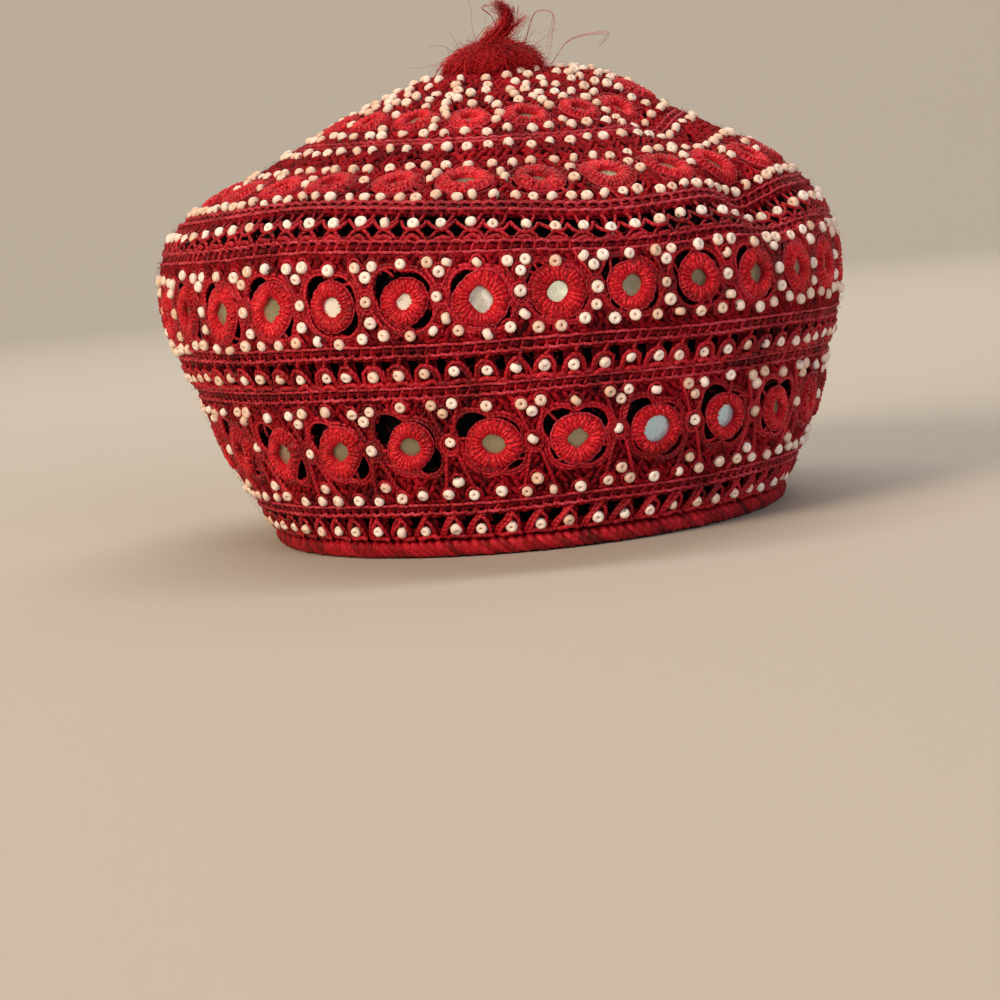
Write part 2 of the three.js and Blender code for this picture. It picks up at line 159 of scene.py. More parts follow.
def directions(angle, level):
    """Unit directions round the cap, up it and outward."""
    level = np.clip(level, 0.5, SLANT - 1)
    turn = 0.5 / LEVEL["widest"]
    around = unit(surface(angle + turn, level) - surface(angle - turn, level))
    up = unit(surface(angle, level + 0.5) - surface(angle, level - 0.5))
    out = unit(np.cross(around, up))
    return around, np.cross(out, around), out


def place(angle, level, lift=0.0):
    """Points at a lift off the surface, and the outward direction there."""
    angle, level, lift = np.broadcast_arrays(angle, level, lift)
    out = directions(angle, level)[2]
    return surface(angle, level) + out * lift[..., None], out


def girth_rate(angle, level, step=0.01):
    """Millimetres round the cap for each radian."""
    ends = surface(angle + step, level) - surface(angle - step, level)
    return np.maximum(np.linalg.norm(ends, axis=-1) / (2 * step), 4)


def near(centre, offsets):
    """Points given as (across mm, up mm, lift mm) about centres of (angle, level)."""
    angle, level = centre[..., 0, None], centre[..., 1, None]
    turned = angle + offsets[..., 0] / girth_rate(angle, level)
    return place(turned, level + offsets[..., 1], offsets[..., 2])


def spots(level, pitch, shift=0.0):
    """Evenly spaced (angle, level) centres round the cap at about this pitch."""
    every = np.radians(np.arange(0, 365, 5))
    steps = np.linalg.norm(np.diff(surface(every, level), axis=0), axis=1)
    run = np.concatenate([[0], np.cumsum(steps)])
    count = int(round(run[-1] / pitch))
    # equal steps along the girth, since the cap is wider from front to back
    angle = np.interp((np.arange(count) + shift) / count * run[-1], run, every)
    return np.stack([angle, np.full(count, level)], -1)


print("widest row", np.round(surface(np.radians([0, 90, 180, 270]), LEVEL["widest"]), 1).tolist())

# %% [markdown]
# ## Meshes from arrays
#
# Threads are swept tubes and beads are turned rings, many of them joined in one mesh. Each
# strand carries a tone from 0 to 1, so that a band isn't one flat colour: real dyed cotton
# takes the dye unevenly. A thread that lies on the cap needs only its outer half, an arch,
# because its back is never seen.

# %% Mesh helpers
def show(name, data):
    obj = bpy.data.objects.new(name, data)
    scene.collection.objects.link(obj)
    return obj


def build(name, points, faces, tone, uv, material, slot="crimson_thread"):
    """A smooth object from arrays in millimetres; one with a slot rides on the cap's only body."""
    mesh = bpy.data.meshes.new(name)
    corners, count = faces.shape[1], len(faces)
    mesh.vertices.add(len(points))
    mesh.vertices.foreach_set("co", (points * MM).astype(np.float32).ravel())
    mesh.loops.add(count * corners)
    mesh.loops.foreach_set("vertex_index", faces.astype(np.int32).ravel())
    mesh.polygons.add(count)
    mesh.polygons.foreach_set("loop_start", np.arange(count, dtype=np.int32) * corners)
    mesh.polygons.foreach_set("use_smooth", np.ones(count, bool))
    layer = mesh.attributes.new("tone", "FLOAT", "POINT")
    layer.data.foreach_set("value", tone.astype(np.float32).ravel())
    wrap = mesh.uv_layers.new(name="along")
    wrap.data.foreach_set("uv", uv[faces.ravel()].astype(np.float32).ravel())
    mesh.update(calc_edges=True)
    mesh.validate()
    mesh.materials.append(material)
    obj = show(name, mesh)
    if slot:
        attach(obj, "root")
    return obj


def quads(grid):
    """Four-cornered faces over vertex numbers in rows and columns."""
    corners = [grid[..., :-1, :-1], grid[..., :-1, 1:], grid[..., 1:, 1:], grid[..., 1:, :-1]]
    return np.stack(corners, -1).reshape(-1, 4)


def numbers(*shape):
    """Vertex numbers of a grid of points."""
    return np.arange(math.prod(shape)).reshape(shape)


def wrapped(grid, axis):
    """The grid, closed along an axis."""
    return np.concatenate([grid, np.take(grid, [0], axis)], axis)


def circle(count):
    return np.linspace(0, TAU, count, endpoint=False)


def tubes(path, out, radius, sides=5, tone=None, closed=False, arch=True):
    """Swept threads: path and out are (strand, step, 3), radius broadcasts to (strand, step)."""
    count, steps = path.shape[:2]
    ahead = np.roll(path, -1, 1) - np.roll(path, 1, 1) if closed else np.gradient(path, axis=1)
    side = unit(np.cross(unit(ahead), out))
    top = np.cross(side, unit(ahead))
    turn = np.linspace(-0.3, np.pi + 0.3, sides) if arch else circle(sides)
    radius = np.broadcast_to(radius, (count, steps))[..., None, None]
    ring = side[:, :, None] * np.cos(turn)[:, None] + top[:, :, None] * np.sin(turn)[:, None]
    points = path[:, :, None] + ring * radius
    grid = numbers(count, steps, sides)
    grid = wrapped(grid, 1) if closed else grid
    grid = grid if arch else wrapped(grid, 2)
    tone = rng.uniform(0, 1, count) if tone is None else np.broadcast_to(tone, count)
    length = np.cumsum(np.linalg.norm(np.diff(path, axis=1, prepend=path[:, :1]), axis=-1), 1)
    uv = np.stack(np.broadcast_arrays(length[:, :, None], turn / TAU), -1)
    tones = np.broadcast_to(tone[:, None, None], (count, steps, sides))
    return points.reshape(-1, 3), quads(grid), tones.ravel(), uv.reshape(-1, 2)


def plain(points, grid):
    """Arrays of a sheet of one tone over a grid of vertex numbers."""
    return points.reshape(-1, 3), quads(grid), np.zeros(grid.size), np.zeros((grid.size, 2))


def joined(parts):
    """Joins tube, ring or sheet arrays into one set."""
    points, faces, tones, uvs = zip(*parts)
    start = np.cumsum([0] + [len(each) for each in points])
    faces = [each + first for each, first in zip(faces, start)]
    return [np.concatenate(each) for each in (points, faces, tones, uvs)]


def curve(points, steps):
    """Smooth paths through rows of control points, (strand, point, 3) to (strand, step, 3)."""
    count = points.shape[1]
    t = np.linspace(0, count - 1, steps)
    i = np.clip(t.astype(int), 0, count - 2)
    f = (t - i)[None, :, None]
    before, after = points[:, np.maximum(i - 1, 0)], points[:, np.minimum(i + 2, count - 1)]
    p, q = points[:, i], points[:, i + 1]
    return 0.5 * (2 * p + (q - before) * f + (2 * before - 5 * p + 4 * q - after) * f ** 2
                  + (3 * p - before - 3 * q + after) * f ** 3)


def strands(centre, controls, radius, steps=8, sides=5, jitter=0.12, tone=None, closed=False):
    """Threads on the cap: controls are (point, 3) or (strand, point, 3) offsets about centres."""
    controls = np.broadcast_to(controls, (len(centre),) + np.shape(controls)[-2:])
    if closed:
        controls = wrapped(controls, 1)
    controls = controls + rng.normal(0, jitter, controls.shape) * [1, 1, 0.5]
    if closed:
        controls[:, -1] = controls[:, 0]
    path = curve(controls, steps + 1 if closed else steps)
    points, out = near(centre, path[:, :-1] if closed else path)
    return tubes(points, out, radius, sides, tone, closed)


def sheets(centre, grid, tone):
    """Small round surfaces on the cap from offsets of shape (sheet, row, column, 3)."""
    count, rows, columns = grid.shape[:3]
    points, _ = near(centre, grid.reshape(count, rows * columns, 3))
    faces = quads(wrapped(numbers(count, rows, columns), 2))
    tones = np.repeat(np.broadcast_to(tone, count), rows * columns)
    return points.reshape(-1, 3), faces, tones, grid[..., :2].reshape(-1, 2)


def polar(radius, turn, lift):
    """Offsets (across, up, lift) from a radius and a turn about a centre."""
    radius, turn, lift = np.broadcast_arrays(radius, turn, lift)
    return np.stack([radius * np.cos(turn), radius * np.sin(turn), lift], -1)


print("helpers ready")

# %% [markdown]
# ## Finishes
#
# Mercerised cotton is dyed crimson and twisted from plies: it has a soft sheen, a brighter edge
# and dark grooves; the grooves' shade and a lighter crest on each ply are painted into its colour.
# The raised chain thread is coloured paler, a painted highlight along it. The beads are opaque
# glass with painted shade in their holes, the mirrors thin silvered glass gone dull, a few with a
# painted reflection of the lamps in their colour, and the lining is plain black cotton.

# %% Node and colour helpers
def linear(code):
    """A six-figure sRGB hex code as linear red, green, blue, alpha."""
    parts = [int(code[i:i + 2], 16) / 255 for i in (0, 2, 4)]
    return [p / 12.92 if p <= 0.04045 else ((p + 0.055) / 1.055) ** 2.4 for p in parts] + [1.0]


def add(tree, kind, settings=None, links=None):
    """Adds a shader node of this kind with its settings and links."""
    made = tree.nodes.new("ShaderNode" + kind)
    for key, value in (settings or {}).items():
        if isinstance(key, str) and hasattr(made, key):
            setattr(made, key, value)
        else:
            made.inputs[key].default_value = value
    for key, source in (links or {}).items():
        tree.links.new(source, made.inputs[key])
    return made


def start_material(name):
    material = bpy.data.materials.new(name)
    material.use_nodes = True
    material.node_tree.nodes.clear()
    return material, material.node_tree


def ramp(tree, source, stops):
    """A colour ramp over (place, hex code) stops."""
    made = add(tree, "ValToRGB", links={"Fac": source})
    band = made.color_ramp
    while len(band.elements) < len(stops):
        band.elements.new(0.5)
    for element, (place_at, code) in zip(band.elements, stops):
        element.position = place_at
        element.color = linear(code)
    return made.outputs["Color"]


def sum_of(tree, source, factor, other):
    """The source times a factor, plus another socket or number."""
    settings, links = {"operation": "MULTIPLY_ADD", 1: factor}, {0: source}
    (settings if isinstance(other, (int, float)) else links)[2] = other
    return add(tree, "Math", settings, links).outputs[0]


def noise(tree, size, detail=2.0, rough=0.5):
    """Noise in the cap's own space, with a feature size in millimetres."""
    at = add(tree, "NewGeometry").outputs["Position"]
    settings = {"Scale": 1 / (size * MM), "Detail": detail, "Roughness": rough}
    return add(tree, "TexNoise", settings, {"Vector": at}).outputs["Fac"]


def tone_of(tree):
    return add(tree, "Attribute", {"attribute_name": "tone"}).outputs["Fac"]


def finish_material(tree, links, settings):
    shader = add(tree, "BsdfPrincipled", settings, links)
    add(tree, "OutputMaterial", links={"Surface": shader.outputs["BSDF"]})


def twisted_thread(name, stops, roughness, ply, shine=0.3):
    material, tree = start_material(name)
    wrap = add(tree, "UVMap", {"uv_map": "along"}).outputs["UV"]
    parts = add(tree, "SeparateXYZ", links={"Vector": wrap})
    turns = sum_of(tree, parts.outputs["X"], TAU / ply, 0.0)
    phase = sum_of(tree, parts.outputs["Y"], 2 * TAU, turns)
    groove = add(tree, "Math", {"operation": "SINE"}, {0: phase}).outputs[0]
    fibre = noise(tree, 0.9, 3.0, 0.7)
    blend = sum_of(tree, tone_of(tree), 0.45, noise(tree, 14))
    # the ply grooves darken the colour and the crests between them lighten it: painted shade and
    # painted highlight on the plies
    dye_tone_and_painted_groove_shade = sum_of(tree, groove, 0.08, blend)
    level = sum_of(tree, fibre, 0.9, sum_of(tree, dye_tone_and_painted_groove_shade, 1.0, -0.68))
    colour = ramp(tree, level, list(zip((0.1, 0.5, 0.95), stops)))
    height = sum_of(tree, fibre, 0.8, groove)
    bump = add(tree, "Bump", {"Strength": 0.6, "Distance": 0.14 * MM}, {"Height": height})
    finish_material(tree, {"Base Color": colour, "Normal": bump.outputs["Normal"]}, {
        "Roughness": roughness,
        "IOR": 1.53,
        "Specular IOR Level": shine,
        "Sheen Weight": 0.1 * shine,
        "Sheen Roughness": 0.35,
        "Sheen Tint": linear("ff8088"),
    })
    return material


# %% Thread, bead, mirror and lining
# name, dark, middle and light colour, roughness, mm in which the plies turn once, shine
THREADS = [
    ("mercerised cotton, bright crimson", ("74000b", "bc0018", "ee2c38"), 0.43, 1.5, 0.28),
    ("mercerised cotton, deep crimson", ("4e0009", "9a0013", "cc2034"), 0.46, 1.5, 0.25),
    ("close crochet ground, deep crimson", ("340007", "76000e", "a40c1c"), 0.65, 1.5, 0.1),
    ("close crochet ground, bright crimson", ("3a0005", "7e000e", "ac0c1a"), 0.6, 1.5, 0.08),
    # the paler, pinker chain thread is a painted highlight along the raised chain lines
    ("raised chain thread, paler for a painted highlight", ("780612", "ac1a2c", "d04a5a"), 0.55, 1.3, 0.3),
    ("rim whipping thread, brushed", ("440007", "960012", "c41e30"), 0.6, 1.7, 0.2),
    ("frayed untwisted cotton ends", ("74060c", "b80c18", "da2c34"), 0.55, 2.2, 0.15),
]
RING, LOOP, GROUND, CROWN, EDGE, RIM, TUFT = [twisted_thread(*row) for row in THREADS]

GLASS_BEAD, tree = start_material("opaque cream pressed glass bead")
# the dark first stop is painted shade in the bead holes; the other stops are the beads' cream colour
bead_colour_and_hole_shade_stops = [(0.0, "30261e"), (0.25, "d6b096"), (0.5, "ead0be"), (1.0, "f6e8e0")]
finish_material(tree, {"Base Color": ramp(tree, tone_of(tree), bead_colour_and_hole_shade_stops)}, {
    "Roughness": 0.36, "IOR": 1.52, "Subsurface Weight": 0.15, "Subsurface Scale": 0.8 * MM,
})

OLD_MIRROR, tree = start_material("thin silvered mirror glass, dulled with age")
cloud = noise(tree, 3, 4.0, 0.65)
haze = add(tree, "MapRange", {"To Min": 0.12, "To Max": 0.42}, {"Value": cloud})
# olive and beige for the dull aged glass; the cream and pale blue stops are painted reflections of the
# warm key and the cool fill
silver_and_painted_reflection_stops = [(0.0, "77705c"), (0.45, "aaa284"), (0.75, "fffaf0"), (0.95, "c4e2f0")]
silver = ramp(tree, sum_of(tree, cloud, 0.16, sum_of(tree, tone_of(tree), 1.0, -0.08)), silver_and_painted_reflection_stops)
mirror_links = {"Base Color": silver, "Roughness": haze.outputs["Result"]}
finish_material(tree, mirror_links, {"Metallic": 0.6, "IOR": 1.5})

BLACK_COTTON, tree = start_material("plain woven black cotton")
weave = {"Strength": 0.4, "Distance": 0.1 * MM}
bump = add(tree, "Bump", weave, {"Height": noise(tree, 0.6)})
finish_material(tree, {"Normal": bump.outputs["Normal"]}, {
    "Base Color": linear("050405"), "Roughness": 0.95, "IOR": 1.5, "Specular IOR Level": 0.1,
})
print("materials", len(bpy.data.materials))

# %% [markdown]
# ## Rows of mirrors
#
# Each mirror is held by a ring of crochet: radial stitches worked over a padding ring, closed
# by a fine chain round the outside. The rings are hand made, so their size, roundness and seat
# vary a little, and the opening is squarish where the stitches pull it.

# %% Where the rosettes sit
# radius of a ring and of its opening in mm, on a row of size 1
ROSETTE, OPENING = 7.6, 3.35


def between(low, high, share=0.5):
    return LEVEL[low] + share * (LEVEL[high] - LEVEL[low])


# rosettes round the row, angle of the first, level, climb of the right side, and share of ROSETTE
Row = namedtuple("Row", "count first level climb size")
ROWS = {
    "lower": Row(25, -5.5, between("lower_mirrors", "waist_lower_braid", 0.54), 0.4, 1),
    "upper": Row(31, -3.7, between("upper_mirrors", "shoulder_braid", 0.48), 2.2, 1),
    "crown": Row(26, -5.1, between("crown_mirrors", "crown_beads", 0.41), 0, 0.98),
    "top": Row(17, -5.7, between("top_mirrors", "centre", 0.4), 0, 0.84),
}


def row_centres(name, shift=0.0):
    """Angle and level of each rosette, or of points shifted by a share of the pitch."""
    row = ROWS[name]
    angle = np.radians(row.first + (np.arange(row.count) + shift) * 360 / row.count)
    return np.stack([angle, row.level + row.climb * np.sin(angle)], -1)


rosettes = {name: row_centres(name) + rng.normal(0, [0.004, 0.4], (row.count, 2))
            for name, row in ROWS.items()}
print({row: len(centres) for row, centres in rosettes.items()})

# %% Stitched rings and mirrors
STITCHES = 28
MIRROR_LIFT = -0.3
# for the inner and the outer round of stitches: share of the way from the opening to the outer
# edge, lift and half width at three points of a stitch, and the least tone; the inner round's
# higher tones are a painted highlight on the raised inner part of each ring
STITCH_ROUNDS = [
    ([[0.03, 0.8, 0.34], [0.28, 1.55, 0.47], [0.66, 1.35, 0.4]], 0.45),
    ([[0.55, 1.15, 0.4], [0.78, 1.2, 0.6], [0.98, 0.35, 0.42]], 0.15),
]
# how far a row's rings are sheared at the front, and how much more at the right side
SHEAR = {"lower": (0.03, -0.27), "upper": (0.06, -0.09), "crown": (0, -0.1), "top": (0, -0.1)}
# section of the padding under the stitches: share of the way to the outer edge, and lift
PADDING = [
    (1.02, -0.7), (0.98, 0.4), (0.84, 1.0), (0.5, 1.5), (0.13, 1.25), (-0.05, 0.45), (-0.03, -0.6),
]
# mirrors whose colour is a painted reflection of the lamps: row, number, tone, size of their ring and
# of its opening
PAINTED_REFLECTION_MIRRORS = [
    ("upper", 29, 0.77, 0.86, 1.0),
    ("upper", 30, 0.77, 0.83, 0.85),
    ("upper", 0, 0.62, 1.0, 1.05),
    ("lower", 2, 0.96, 1.0, 1.3),
    ("lower", 3, 0.96, 0.95, 1.2),
]


def stitched_rings(row, centres):
    count, scale = len(centres), ROWS[row].size
    size = rng.uniform(0.88, 1.04, count)[:, None] * scale
    silver_tone_and_painted_reflection = rng.uniform(0.1, 0.5, count)
    opening = rng.uniform(0.88, 1.12, (count, 1))
    # these mirrors take a high tone: a painted reflection of the lamps in their colour
    for name, number, tone, ring, hole in PAINTED_REFLECTION_MIRRORS:
        if name == row:
            silver_tone_and_painted_reflection[number], size[number], opening[number] = tone, ring, hole
    lobes = rng.uniform(0, TAU, (2, count, 1))
    pull = rng.uniform(0.0, 0.07, (count, 1))
    at_front, at_right = SHEAR[row]
    slope = at_front + at_right * np.sin(centres[:, :1])

    def outer(turn):
        shape = 1 + 0.035 * np.cos(2 * turn + lobes[0]) + 0.025 * np.cos(3 * turn + lobes[1])
        return ROSETTE * size * (shape + slope * np.sin(2 * turn))

    def inner(turn):
        shape = 1 + pull * np.cos(4 * turn) + 0.08 * np.cos(2 * turn + lobes[1])
        return OPENING * size * opening * (shape + slope * np.sin(2 * turn))

    def part_way(share, turn):
        return inner(turn) + (outer(turn) - inner(turn)) * share

    rays = []
    held = np.repeat(centres, STITCHES, 0)
    for k, (run, least) in enumerate(STITCH_ROUNDS):
        turn = circle(STITCHES) + k * np.pi / STITCHES + rng.normal(0, 0.045, (count, STITCHES))
        lean = rng.normal(0.08, 0.08, (count, STITCHES))
        run = np.array(run)
        bent = run + rng.normal(0, [0.05, 0.08, 0.0], (count, STITCHES, 3, 3))
        path = []
        for j, share in enumerate(run[:, 0]):
            around = turn - lean * (0.5 - share)
            path.append(polar(part_way(bent[..., j, 0], turn), around, bent[..., j, 1]))
        points, out = near(held, np.stack(path, 2).reshape(len(held), 3, 3))
        # the inner round is toned lighter than the outer: painted highlight on the raised stitches
        rays.append(tubes(points, out, run[:, 2], 4, rng.uniform(least, least + 0.55, len(held))))
    turn = circle(24)[None]
    pad = np.stack([polar(part_way(share, turn), turn, lift) for share, lift in PADDING], 1)
    rings = build(f"{row}_mirror_rings", *joined(rays + [sheets(centres, pad, 0.35)]), RING)
    turn = circle(56)[None]
    scallop = 0.2 * np.abs(np.sin(STITCHES / 4 * turn))
    points, out = near(centres, polar(outer(turn) + 0.1 + scallop, turn, 0.25 + scallop))
    edge = tubes(points, out, 0.3, 4, rng.uniform(0.2, 0.8, count), True)
    # the ring's outer chain takes the paler thread: a painted highlight along it
    build(f"{row}_ring_edges", *edge, EDGE)
    tilt = rng.normal(0, 0.05, (count, 1, 2))
    glass = []
    for radius in (OPENING * 1.35, 2.0, 0.02):
        flat = polar(np.full((count, 1), radius * scale), circle(20)[None], 0.0)
        flat[..., 2] = MIRROR_LIFT + (flat[..., :2] * tilt).sum(-1)
        glass.append(flat)
    build(f"{row}_mirrors", *sheets(centres, np.stack(glass, 1), silver_tone_and_painted_reflection), OLD_MIRROR, "mirror_glass")
    return rings


for row, centres in rosettes.items():
    print(row, "ring faces", len(stitched_rings(row, centres).data.polygons))

# %% [markdown]
# ## Ground crochet
#
# Between the rings lies close crochet. In the two tall side bands it draws back from each ring,
# which leaves black crescents of lining, and in the nets it fills only the feet of the loops. A
# backing cloth gives the crochet its body, cut away at the gaps, and short slanting stitches lie
# over it. The crown is closer work, with only small gaps here and there.

# %% Where the cloth is open
# how far the crescents above and below the middle of a ring reach from it, in mm
CRESCENTS = {"lower": (4.4, 2.6), "upper": (2.4, 1.9), "crown": (1.5, 2.4), "top": (1.3, 1.3)}
# each quarter round a ring, from the upper right, opens by its own share of that reach
QUARTERS = {
    row: rng.uniform([0.15, 0.75, 0.15, 0.55], [0.7, 1.15, 0.8, 1.15], (len(centres), 4))
    * (1 + 0.35 * np.maximum(np.sin(centres[:, :1]), 0))
    for row, centres in rosettes.items()
}
NET_PITCH = 8.0
# from and to station, lean in mm for each mm up, foot of the gaps, half width kept round a loop
NETS = {
    "foot": ("lower_net", "foot_braid", 0.3, 2.6, 2.3),
    "waist": ("waist_net", "waist_upper_braid", 0.05, 3.2, 2.5),
    "shoulder": ("shoulder_net", "edge_braid", 0.0, 1.3, 0.7),
}


def ring_distance(row, angle, level):
    """Offsets (across, up) in mm from the nearest rosette of a row, and its number."""
    centres = rosettes[row]
    pitch = TAU / len(centres)
    nearest = np.round((angle - centres[0, 0]) / pitch).astype(int) % len(centres)
    away = (angle - centres[nearest, 0] + np.pi) % TAU - np.pi
    return away * girth_rate(angle, level), level - centres[nearest, 1], nearest


def crescent_reach(row, turn, number):
    """How far the crescents reach from a ring's edge, in mm."""
    upper, lower = CRESCENTS[row]
    share = QUARTERS[row][number, (turn // (np.pi / 2)).astype(int) % 4]
    return share * np.where(np.sin(turn) > 0, upper, lower) * np.abs(np.sin(2 * turn)) ** 0.8


def by_ring(row, margin=0.0):
    """A mask of the rings of a row and the crescents beside them."""
    def is_open(angle, level):
        across, up, number = ring_distance(row, angle, level)
        reach = crescent_reach(row, np.arctan2(up, across), number)
        size = ROSETTE * ROWS[row].size
        return np.hypot(across, up) < size - 0.8 + np.minimum(reach, 0.8) + reach + margin
    return is_open


def by_net(name):
    low, high, lean, foot, half = NETS[name]
    loops = spots(LEVEL[low], NET_PITCH)[:, 0]

    def is_open(angle, level):
        up = level - LEVEL[low]
        turned = angle % TAU
        phase = np.interp(turned, np.append(loops, TAU), np.arange(len(loops) + 1))
        across = (phase - lean * up / NET_PITCH + 0.5) % 1 - 0.5
        wide = np.abs(across * NET_PITCH) > half
        return wide & (up > foot) & (level < LEVEL[high] - 0.5)
    return is_open


# small round gaps that the work leaves here and there on the crown
PITS = 190
pit_angle = rng.uniform(0, TAU, PITS)
pit_level = rng.uniform(LEVEL["crown_mirrors"] + 3, SLANT - 14, PITS)
pits = surface(pit_angle, pit_level)
pit_size = rng.uniform(0.9, 1.9, PITS)


def by_pits(angle, level):
    away = np.linalg.norm(surface(angle, level)[:, None] - pits, axis=-1)
    return (away < pit_size).any(1)


def in_gaps(centres, gaps):
    """Which (angle, level) centres lie in one of the masks."""
    is_open = np.zeros(len(centres), bool)
    for gap in gaps:
        is_open |= gap(*centres.T)
    return is_open


def cloth(name, low, high, step, gaps, lift=-1.0):
    """A backing of crochet between two levels, in small squares, without those in a gap."""
    middle = spots((low + high) / 2, step)[:, 0]
    levels = np.linspace(low, high, int((high - low) / step) + 2)
    angle, level = np.meshgrid(np.append(middle, middle[0] + TAU), levels)
    points, _ = place(angle, level, lift + rng.normal(0, 0.08, angle.shape))
    points[:, -1] = points[:, 0]
    faces = quads(numbers(*angle.shape))
    middles = np.stack([angle.ravel()[faces].mean(1), level.ravel()[faces].mean(1)], -1)
    used, faces = np.unique(faces[~in_gaps(middles, gaps)], return_inverse=True)
    faces = faces.reshape(-1, 4)
    uv = np.stack([angle.ravel() * 90, level.ravel() / 3], -1)[used]
    tones = rng.uniform(0, 0.3, len(used))
    build(name, points.reshape(-1, 3)[used], faces, tones, uv, GROUND)
    print(name, len(faces), "squares")


# the crochet ends this far from the apex, under the tuft
UNDER_TUFT = 5
CROWN_GAPS = [by_ring("crown", 0.4), by_ring("top", 0.3), by_pits]
SIDE_GAPS = [by_ring("lower"), by_ring("upper")] + [by_net(name) for name in NETS]
cloth("side_cloth", 0.2, LEVEL["crown_mirrors"], 1.35, SIDE_GAPS)
cloth("crown_cloth", LEVEL["crown_mirrors"], SLANT - UNDER_TUFT, 1.7, CROWN_GAPS, -0.9)

# %% Fields of short stitches
STITCH_PITCH, STITCH_ROW, STITCH_HALF = 2.5, 2.3, 0.72


def ground(name, low, high, gaps, material, lift):
    """Rows of short threads that slant one way or the other, clear of the gaps."""
    levels = np.arange(low + STITCH_ROW / 2, high, STITCH_ROW)
    rows = [spots(level, STITCH_PITCH, 0.5 * (k % 2)) for k, level in enumerate(levels)]
    centre = np.concatenate(rows)
    centre = centre + rng.normal(0, [0.003, 0.25], centre.shape)
    centre = centre[~in_gaps(centre, gaps)]
    lean = rng.uniform(0.5, 1.1, (len(centre), 1))
    lean = lean * np.where(rng.uniform(size=lean.shape) < 0.5, 1, -1)
    steps = np.array([-1, -0.35, 0.35, 1.0])
    across, up = steps * STITCH_PITCH * 0.5 * lean, steps * STITCH_ROW * 0.62
    heights = lift + np.array([-0.45, 0.3, 0.3, -0.45])
    controls = np.stack(np.broadcast_arrays(across, up, heights), -1)
    build(name, *strands(centre, controls, STITCH_HALF, 4, 4), material)
    print(name, len(centre), "stitches")


# name, stations between which it lies, how much higher it starts and ends in mm, and its gaps
GROUNDS = [
    ("lower_ground", "lower_mirrors", "waist_lower_braid", 1.5, -0.5, [by_ring("lower", 0.7)]),
    ("upper_ground", "upper_mirrors", "shoulder_braid", 0.5, -0.5, [by_ring("upper", 0.7)]),
    ("crown_ground", "crown_mirrors", "crown_beads", 0.6, 0, CROWN_GAPS),
    ("crown_bead_ground", "crown_beads", "top_mirrors", 0, 0, CROWN_GAPS),
    ("top_ground", "top_mirrors", "centre", 0, 0, CROWN_GAPS),
    ("centre_ground", "centre", "apex", 0, -UNDER_TUFT, [by_pits]),
]
for name, low, high, more_low, more_high, gaps in GROUNDS:
    on_crown = LEVEL[low] >= LEVEL["crown_mirrors"]
    material, lift = (CROWN, -0.15) if on_crown else (GROUND, -0.35)
    ground(name, LEVEL[low] + more_low, LEVEL[high] + more_high, gaps, material, lift)

# %% [markdown]
# ## Chain-stitch braids
#
# Two fine lines of chain stitch with a slanting rung at every stitch close each band of work,
# like a ladder of dark cells. A stitch is about 3.3 mm long, and each one tucks under the next,
# which gives the stepped edge lines.

# %% Braids
STITCH = 3.3


def braid(name, middle, half=1.35, lift=0.0):
    """Two lines of chain stitch this far from the middle, their rungs, and the bed below."""
    centre = spots(middle, STITCH)
    centre[:, 1] += 0.2 * np.sin(9 * centre[:, 0])
    line = np.array([[-0.5, -0.1, -0.3], [0.7, 0.15, 0.45], [2.5, 0.15, 0.5], [3.9, -0.25, -0.3]])
    rung = np.array([[2.2, -half, 0.2], [2.9, 0, 0.3], [3.4, half, 0.2]])
    cell = np.array([[-0.4, -0.2, -0.9], [0.9, 0, -0.35], [2.2, 0.2, -0.9]])
    width = np.array([0.32, 0.42, 0.44, 0.42, 0.32])
    lines = [strands(centre, line * [1, side, 1] + [0, half * side, lift], width, 5, 4, 0.1)
             for side in (-1, 1)]
    rungs = strands(centre, rung + [0, 0, lift - 0.4], 0.4, 4, 4, 0.25)
    # the two chain lines take the paler thread: a painted highlight along them
    build(name, *joined(lines), EDGE)
    build(f"{name}_rungs", *rungs, LOOP)
    rows = [strands(centre, cell + [0, 0, lift], 0.9, 4, 4, 0.1, 0.25)]
    bump = np.array([[-0.6, 0, -0.8], [0.6, 0.1, -0.05], [2.0, 0, -0.8]])
    for side in (-1, 1):
        rows.append(strands(centre, bump + [0, side * (half + 1.0), lift], 0.72, 4, 4))
    build(f"{name}_bed", *joined(rows), GROUND)
    print(name, len(centre), "stitches")


braid("foot_chain", between("foot_braid", "lower_mirrors") + 0.1)
braid("waist_lower_chain", between("waist_lower_braid", "waist_net"))
braid("waist_upper_chain", between("waist_upper_braid", "upper_mirrors") - 0.2)
braid("shoulder_chain", between("shoulder_braid", "shoulder_net"))
braid("edge_chain", between("edge_braid", "crown_mirrors"), 1.3, 0.2)
CROWN_CHAIN = 141.3
braid("crown_chain", CROWN_CHAIN, 1.0, 0.1)

# %% [markdown]
# ## Open nets
#
# Doubled loops of thread hood a single bead each, about 8 mm apart, with black gaps between
# them. The lowest net leans one way, the waist net arches over its beads, and the shoulder net
# slings its beads from below.

